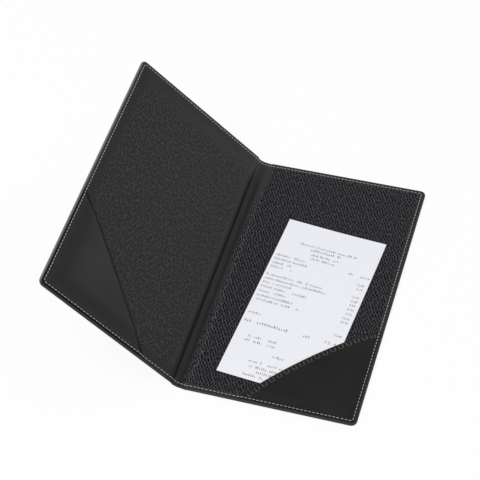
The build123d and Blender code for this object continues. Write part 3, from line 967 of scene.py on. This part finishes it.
def make_pocket(left):
    side = name_of(left)
    cut = POCKET_CUTS[side]
    count = round(cut[0] + cut[1])
    depths = [np.linspace(*zone)[1:] for zone in DEPTH_ZONES]
    bm = make_grid(np.linspace(0, 1, count + 1), np.concatenate([[0.0], *depths]))
    move_points(bm, lambda p: shape_pocket(p, side))
    bmesh.ops.remove_doubles(bm, verts=bm.verts[:], dist=1e-3)
    bmesh.ops.dissolve_degenerate(bm, edges=bm.edges[:], dist=1e-4)
    bmesh.ops.solidify(bm, geom=bm.faces[:], thickness=POCKET_THICKNESS)
    move_points(bm, lambda p: skive_pocket(p, side))
    bmesh.ops.recalc_face_normals(bm, faces=bm.faces[:])
    sharp = [edge for edge in bm.edges
             if len(edge.link_faces) == 2 and edge.calc_face_angle(0) > EDGE_ANGLE]
    bmesh.ops.bevel(bm, geom=sharp, offset=EDGE_ROLL, offset_type="OFFSET", segments=2, profile=0.5,
                    affect="EDGES", clamp_overlap=True, material=-1)
    piece = finish_piece(bm, f"{side}_corner_pocket", pocket_leatherette, left)
    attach(piece, f"{side}_panel")
    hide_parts(f"{side}_pocket")


for is_left in (False, True):
    make_pocket(is_left)

# %% [markdown]
# ## The seam
# A lockstitch shows as a row of short dashes: the needle thread on the inner face, the bobbin thread on the
# outside. Each dash dips into a needle hole at both ends. One stretched sphere of a few faces is enough
# for a stitch, placed once for each, and the whole row is folded with the sheet it lies on.

# %% Stitch helpers
STITCH_LENGTH = 2.2
THREAD_WIDTH, THREAD_HEIGHT = 0.5, 0.36
STITCH_LIFT = 0.02
SIDE_STITCHES, END_STITCHES = 74, 41
CREASE_PITCH, CREASE_STITCHES = 2.7, 3


def add_stitch(bm, middle, along, length, width=THREAD_WIDTH, height=THREAD_HEIGHT):
    """One stitch lying flat, centred on a point, with its length along a direction in the plane."""
    along = Vector((along[0], along[1], 0)).normalized()
    across = Vector((-along.y, along.x, 0))
    frame_of_stitch = Matrix((
        (across.x * width, 0, along.x * length, middle[0]),
        (across.y * width, 0, along.y * length, middle[1]),
        (0, height, 0, middle[2]),
        (0, 0, 0, 1)))
    bmesh.ops.create_uvsphere(bm, u_segments=6, v_segments=6, radius=0.5, matrix=frame_of_stitch)


def seam_places():
    """The middles and directions of a panel's stitches, with those that cross the crease."""
    sides = [(SEAM_X, SIDE_PHASE + STITCH_PITCH * index, 0, 1) for index in range(SIDE_STITCHES)]
    ends = [END_PHASE + STITCH_PITCH * index for index in range(END_STITCHES)]
    over_crease = [END_PHASE - CREASE_PITCH * (index + 1) for index in range(CREASE_STITCHES)]
    rows = [(x, sign * SEAM_Y, 1, 0) for x in ends + over_crease for sign in (1, -1)]
    return sides + rows


# %% Make the seams
HEM_WIDTH = 10.0


def lining_height(x, y, left):
    """The lining's upper face at one place on the seam, in its groove."""
    point = np.array([[x, y, PANEL_TOP]])
    return spine_dip(point, left)[0, 2] - TURN_IN_SKIVE - LINING_SKIVE - LINING_GROOVE * 0.5


def inside_pocket(x, y, cut):
    """Whether a place by the rim lies under a pocket's hem."""
    on_side, on_foot = x > RIM_X - HEM_WIDTH, y < HEM_WIDTH - HEAD_Y
    return on_side and y < cut[0] - HEAD_Y or on_foot and x > RIM_X - cut[1]


def make_seam(left, upper):
    side = name_of(left)
    cut = POCKET_CUTS[side]
    bm = bmesh.new()
    for x, y, along_x, along_y in seam_places():
        if upper:
            height = lining_height(x, y, left) + STITCH_LIFT
            if inside_pocket(x, y, cut):
                height += POCKET_THICKNESS - POCKET_SKIVE
        else:
            height = COVER_GROOVE * 0.5
        add_stitch(bm, (x, y, height), (along_x, along_y), STITCH_LENGTH)
    kind = "needle" if upper else "bobbin"
    piece = finish_piece(bm, f"{side}_seam_{kind}", seam_thread, left)
    bend_over_spine(piece, left)
    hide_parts(f"{side}_seam_{kind}_thread", f"spine_seam_{kind}_thread")


for is_left in (False, True):
    for is_upper in (True, False):
        make_seam(is_left, is_upper)

# %% [markdown]
# ## The overcast edge
# The right pocket's opening is oversewn by hand with dark thread: each stitch wraps the edge and runs a few
# millimetres into the leather, and a short thread joins the inner ends of every second pair.

# %% Overcast stitches
OVERCAST_PITCH, OVERCAST_SETBACK, OVERCAST_LENGTH = 3.2, 0.9, 3.7
END_GAP, LOOK_AHEAD = 6.0, 0.5
JOIN_SETBACK, JOIN_WIDTH, JOIN_HEIGHT = 0.3, 0.36, 0.28


def make_overcast():
    fine = bowed_line(POCKET_CUTS["right"], np.linspace(0, 1, 2001))
    travel = np.concatenate([[0], np.cumsum(np.hypot(*np.diff(fine, axis=0).T))])

    def on_edge(place):
        return np.array([np.interp(place, travel, fine[:, axis]) for axis in (0, 1)])

    count = int((travel[-1] - 2 * END_GAP) / OVERCAST_PITCH)
    bm = bmesh.new()
    previous = None
    for index, place in enumerate(np.linspace(END_GAP, travel[-1] - END_GAP, count + 1)):
        edge = on_edge(place)
        ahead = on_edge(place + LOOK_AHEAD) - edge
        inward = np.array([-ahead[1], ahead[0]]) / np.hypot(*ahead)
        middle = edge + inward * (OVERCAST_SETBACK + OVERCAST_LENGTH / 2)
        top = pocket_top(np.array([[*middle, 0.0]]), "right")[0, 2]
        add_stitch(bm, (*middle, top + STITCH_LIFT), inward, OVERCAST_LENGTH)
        tip = middle + inward * (OVERCAST_LENGTH / 2 - JOIN_SETBACK)
        if index % 2:
            between = (tip + previous) / 2
            add_stitch(bm, (*between, top), tip - previous, OVERCAST_PITCH, JOIN_WIDTH, JOIN_HEIGHT)
        previous = tip
    piece = finish_piece(bm, "right_pocket_oversewing", overcast_thread)
    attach(piece, "right_panel")
    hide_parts("right_pocket_overcast")


make_overcast()

# %% [markdown]
# ## The till slip
# The slip is a strip of thermal paper 80 mm wide, tucked under the right pocket at a slight angle. Paper off
# a roll keeps some curl, so its free corners lift by less than a millimetre. Its print is generic: short
# marks in place of words, and plain figures in place of prices.

# %% The paper and its place
SLIP_WIDTH, SLIP_LENGTH, SLIP_THICKNESS = 80.0, 153.5, 0.1
SLIP_X, SLIP_Y, SLIP_TURN = -0.7, -20.8, math.radians(-5.1)
SLIP_BOTTOM = 3.6
CURL_START, CURL_RUN = 30.0, 47.0
MIDDLE_CURL, CORNER_CURL, RIPPLE = 0.35, 0.55, 0.06
SLIP_COLUMNS, SLIP_ROWS = 33, 61


def lay_slip(points):
    """Place points drawn on the slip, with the paper's curl, on the lining."""
    u, v = points[:, 0], points[:, 1]
    head_curl = np.clip((v - CURL_START) / CURL_RUN, 0, 1) ** 2
    side_curl = (np.abs(u) / (SLIP_WIDTH / 2)) ** 2
    ripple = RIPPLE * np.sin(u * 0.11 + 1.0) * np.sin(v * 0.06)
    lift = head_curl * (MIDDLE_CURL + CORNER_CURL * side_curl) + ripple
    laid = points.copy()
    laid[:, 0] = SLIP_X + u * math.cos(SLIP_TURN) - v * math.sin(SLIP_TURN)
    laid[:, 1] = SLIP_Y + u * math.sin(SLIP_TURN) + v * math.cos(SLIP_TURN)
    laid[:, 2] += SLIP_BOTTOM + lift
    return laid


def make_slip():
    columns = np.linspace(-SLIP_WIDTH / 2, SLIP_WIDTH / 2, SLIP_COLUMNS)
    rows = np.linspace(-SLIP_LENGTH / 2, SLIP_LENGTH / 2, SLIP_ROWS)
    bm = make_grid(columns, rows)
    bmesh.ops.translate(bm, vec=(0, 0, SLIP_THICKNESS), verts=bm.verts[:])
    bmesh.ops.solidify(bm, geom=bm.faces[:], thickness=SLIP_THICKNESS)
    move_points(bm, lay_slip)
    piece = finish_piece(bm, "till_slip", till_paper, folds=False)
    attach(piece, "guest_check")
    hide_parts("guest_check")


make_slip()

# %% [markdown]
# The print is laid out in lines like any till slip: a centred heading, a list with figures on the right, a
# bold total, and small closing lines. Each mark is a thin plate that follows the paper.

# %% Print on the slip
MARK_ADVANCE, MARK_DROP = 1.5, 1.0
PRINT_THICKNESS, PRINT_GAP = 0.03, 0.01
PRINT_MIDDLE = SLIP_THICKNESS + PRINT_GAP + PRINT_THICKNESS / 2

# Each line of print: its distance from the head, then for each word its start and its count of marks.
PRINT_LINES = [
    (20.0, [(-24, 8), (-11, 5), (-3, 6), (7, 4), (14, 3), (20, 2)]), (23.6, [(-14, 13), (8, 2)]),
    (28.0, [(-12, 4), (-5, 2), (-1, 3), (6, 3)]), (31.8, [(-11, 5), (-2, 7)]),
    (35.9, [(-38, 8), (-23, 6), (21, 3), (31, 5)]), (39.9, [(-38, 9), (-23, 8)]),
    (44.0, [(-38, 6), (-26, 3)]), (48.0, [(-38, 7), (-22, 1)]),
    (56.2, [(-38, 1), (-35, 9), (-20, 3), (-13, 3), (-6, 1), (-3, 7)]),
    (60.2, [(-38, 5), (-29, 13), (-8, 13)]), (64.2, [(-38, 4), (-30, 1), (-27, 8)]),
    (68.5, [(-38, 6), (-27, 6), (-13, 8)]), (73.0, [(-38, 6), (-26, 7)]), (77.5, [(-38, 8), (-25, 11)]),
    (81.5, [(-37, 9), (-22, 2), (-17, 5), (-5, 2)]), (94.6, [(-38, 7)]),
    (116.0, [(-30, 2), (-25, 4)]), (120.2, [(-31, 3), (-24, 4)]),
    (137.0, [(-21, 5), (-12, 1), (-6, 5), (3, 2), (7, 8)]), (141.5, [(-19, 2), (-14, 6), (-3, 4), (5, 9)]),
    (145.5, [(-12, 9), (4, 6)]), (149.4, [(-21, 7), (-8, 2), (-3, 10)]),
]
# The figures, by the place of their right edge: each with its distance from the head.
PRICES = {
    37: [(44.0, "12.40"), (48.0, "3.10"), (56.2, "5.20"), (60.2, "2.60"), (64.2, "4.90"), (68.5, "8.30"),
         (73.0, "3.70"), (77.5, "12.50"), (81.5, "19.70"), (94.6, "72.40")],
    -7: [(116.0, "60.84"), (120.2, "11.56")],
    32: [(116.0, "80.00"), (120.2, "7.60")],
}
PRICE_HEIGHT, PRICE_DROP = 2.9, 1.0
TOTAL_FROM_HEAD, TOTAL_RIGHT, TOTAL_HEIGHT, TOTAL_DROP = 103.0, 38.0, 3.6, 1.2
TOTAL_WORDS = [(-38, 3), (-28, 13), (9, 3)]
TOTAL_FIGURES = "7 2 . 4 0"
THANKS_FROM_HEAD, THANKS_WORDS = 128.4, [(-6, 5)]
BOLD_ADVANCE, BOLD_HEIGHT, BOLD_WIDTH = 1.28, 1.15, 1.2


def add_mark(bm, u, v, width, height):
    place = Matrix.Translation((u, v, PRINT_MIDDLE))
    bmesh.ops.create_cube(bm, size=1.0, matrix=place @ Matrix.Diagonal((width, height, PRINT_THICKNESS, 1)))


def add_figures(bm, text, right_u, v, height):
    """Plain figures, set flush right, as thin solid plates."""
    curve = bpy.data.curves.new("figures", "FONT")
    curve.body, curve.size, curve.align_x, curve.extrude = text, height, "RIGHT", PRINT_THICKNESS / 2
    curve.resolution_u = 2
    holder = bpy.data.objects.new("figures", curve)
    mesh = bpy.data.meshes.new_from_object(holder)
    mesh.transform(Matrix.Translation((right_u, v, PRINT_MIDDLE)))
    bm.from_mesh(mesh)
    bpy.data.objects.remove(holder)
    bpy.data.curves.remove(curve)
    bpy.data.meshes.remove(mesh)


def add_words(bm, chooser, from_head, words, bold):
    """Plain upright marks in place of letters, some tall and some low."""
    v = SLIP_LENGTH / 2 - from_head
    advance = MARK_ADVANCE * (BOLD_ADVANCE if bold else 1.0)
    for start, count in words:
        for index in range(count):
            height = chooser.choice((1.1, 1.3, 1.9, 2.1)) * (BOLD_HEIGHT if bold else 1.0)
            width = chooser.choice((0.45, 0.6, 0.8)) * (BOLD_WIDTH if bold else 1.0)
            add_mark(bm, start + (index + 0.5) * advance, v - MARK_DROP + height / 2, width, height)


def make_print():
    chooser = random.Random(7)
    bm = bmesh.new()
    for from_head, words in PRINT_LINES:
        add_words(bm, chooser, from_head, words, False)
    add_words(bm, chooser, TOTAL_FROM_HEAD, TOTAL_WORDS, True)
    add_words(bm, chooser, THANKS_FROM_HEAD, THANKS_WORDS, True)
    for right_u, lines in PRICES.items():
        for from_head, price in lines:
            add_figures(bm, price, right_u, SLIP_LENGTH / 2 - from_head - PRICE_DROP, PRICE_HEIGHT)
    add_figures(bm, TOTAL_FIGURES, TOTAL_RIGHT, SLIP_LENGTH / 2 - TOTAL_FROM_HEAD - TOTAL_DROP, TOTAL_HEIGHT)
    move_points(bm, lay_slip)
    piece = finish_piece(bm, "till_slip_print", till_print, folds=False)
    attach(piece, "guest_check")


make_print()

# %% [markdown]
# ## Room, light and camera
# The folder was photographed from above its foot on a white ground in soft light. The ground is a pale
# floor that keeps a faint shadow, and the world is white only to the camera and to reflections. Two square
# softboxes light it: a large one high on the left of the foot, and a small one low behind the head on the
# right, which grazes the sheets and brings out their relief.

# %% Floor and world
WHITE, GROUND_GLOW = (1, 1, 1, 1), 0.9
FLOOR_Z = -0.0002


def seen_or_mirrored(tree):
    """1 for a ray that the camera, a gloss or a glass sends out, 0 for light that falls on something."""
    path = add_node(tree, "ShaderNodeLightPath")
    seen = add_node(tree, "ShaderNodeMath",
                    {0: path.outputs["Is Camera Ray"], 1: path.outputs["Is Transmission Ray"]},
                    operation="MAXIMUM")
    either = add_node(tree, "ShaderNodeMath", {0: seen.outputs[0], 1: path.outputs["Is Glossy Ray"]},
                      operation="MAXIMUM")
    return either.outputs[0]


def make_floor():
    material, tree, shader = new_material("white_ground")
    set_inputs(tree, shader, {"Base Color": linear("#FAFAFA"), "Roughness": 0.8})
    white = add_node(tree, "ShaderNodeEmission", {"Color": WHITE, "Strength": 1.0})
    seen = add_node(tree, "ShaderNodeMath", {0: seen_or_mirrored(tree), 1: GROUND_GLOW},
                    operation="MULTIPLY")
    mixed = add_node(tree, "ShaderNodeMixShader",
                     {"Fac": seen.outputs[0], 1: shader.outputs["BSDF"], 2: white.outputs[0]})
    output = next(node for node in tree.nodes if node.type == "OUTPUT_MATERIAL")
    tree.links.new(mixed.outputs[0], output.inputs["Surface"])
    bm = bmesh.new()
    bmesh.ops.create_grid(bm, x_segments=1, y_segments=1, size=3.0)
    bmesh.ops.translate(bm, vec=(0, 0, FLOOR_Z), verts=bm.verts[:])
    floor = add_object("ground", make_mesh(bm, "ground", material))


def make_world():
    world = bpy.data.worlds.new("soft_white_room")
    world.use_nodes = True
    bpy.context.scene.world = world
    tree = world.node_tree
    tree.nodes.clear()
    dim = add_node(tree, "ShaderNodeBackground", {"Color": (0.97, 0.98, 1.0, 1), "Strength": 0.45})
    white = add_node(tree, "ShaderNodeBackground", {"Color": WHITE, "Strength": 1.0})
    mixed = add_node(tree, "ShaderNodeMixShader",
                     {"Fac": seen_or_mirrored(tree), 1: dim.outputs[0], 2: white.outputs[0]})
    add_node(tree, "ShaderNodeOutputWorld", {"Surface": mixed.outputs[0]})


make_floor()
make_world()


# %% Lamps
def add_softbox(name, place, target, size, power):
    lamp = bpy.data.lights.new(name, "AREA")
    lamp.shape, lamp.size, lamp.energy = "SQUARE", size, power
    softbox = add_object(name, lamp)
    softbox.location = place
    softbox.rotation_euler = (Vector(target) - Vector(place)).to_track_quat("-Z", "Y").to_euler()
    softbox.visible_camera = False


PAGE_MIDDLE = (-0.06, 0.0, 0.0)
add_softbox("key_softbox", (-0.6, -0.56, 1.4), PAGE_MIDDLE, 1.0, 15.3)
add_softbox("low_softbox", (1.2, 0.96, 0.42), PAGE_MIDDLE, 0.6, 7.0)
print("two softboxes")

# %% [markdown]
# The camera was found by matching the corners of the seam and the outlines of the panels in the photograph
# with the model. A long lens from about 1.3 m gives the same mild perspective.

# %% Camera
CAMERA_PLACE = (0.2268296, -0.7508464, 1.0053058)
CAMERA_RIGHT = (0.95632888, 0.28684001, -0.05619504)
CAMERA_DOWN = (0.18680377, -0.74765508, -0.63727249)
CAMERA_FORWARD = (-0.22480975, 0.59894465, -0.76858694)
LENS_MM, SENSOR_MM = 124.86, 36.0

camera_data = bpy.data.cameras.new("camera")
camera_data.lens, camera_data.sensor_width, camera_data.sensor_fit = LENS_MM, SENSOR_MM, "AUTO"
camera = add_object("camera", camera_data)
axes = Matrix((CAMERA_RIGHT, [-c for c in CAMERA_DOWN], [-c for c in CAMERA_FORWARD])).transposed()
camera.matrix_world = Matrix.Translation(CAMERA_PLACE) @ axes.to_4x4()
bpy.context.scene.camera = camera
bpy.context.scene.view_settings.view_transform = "Standard"
print("camera at", CAMERA_PLACE)
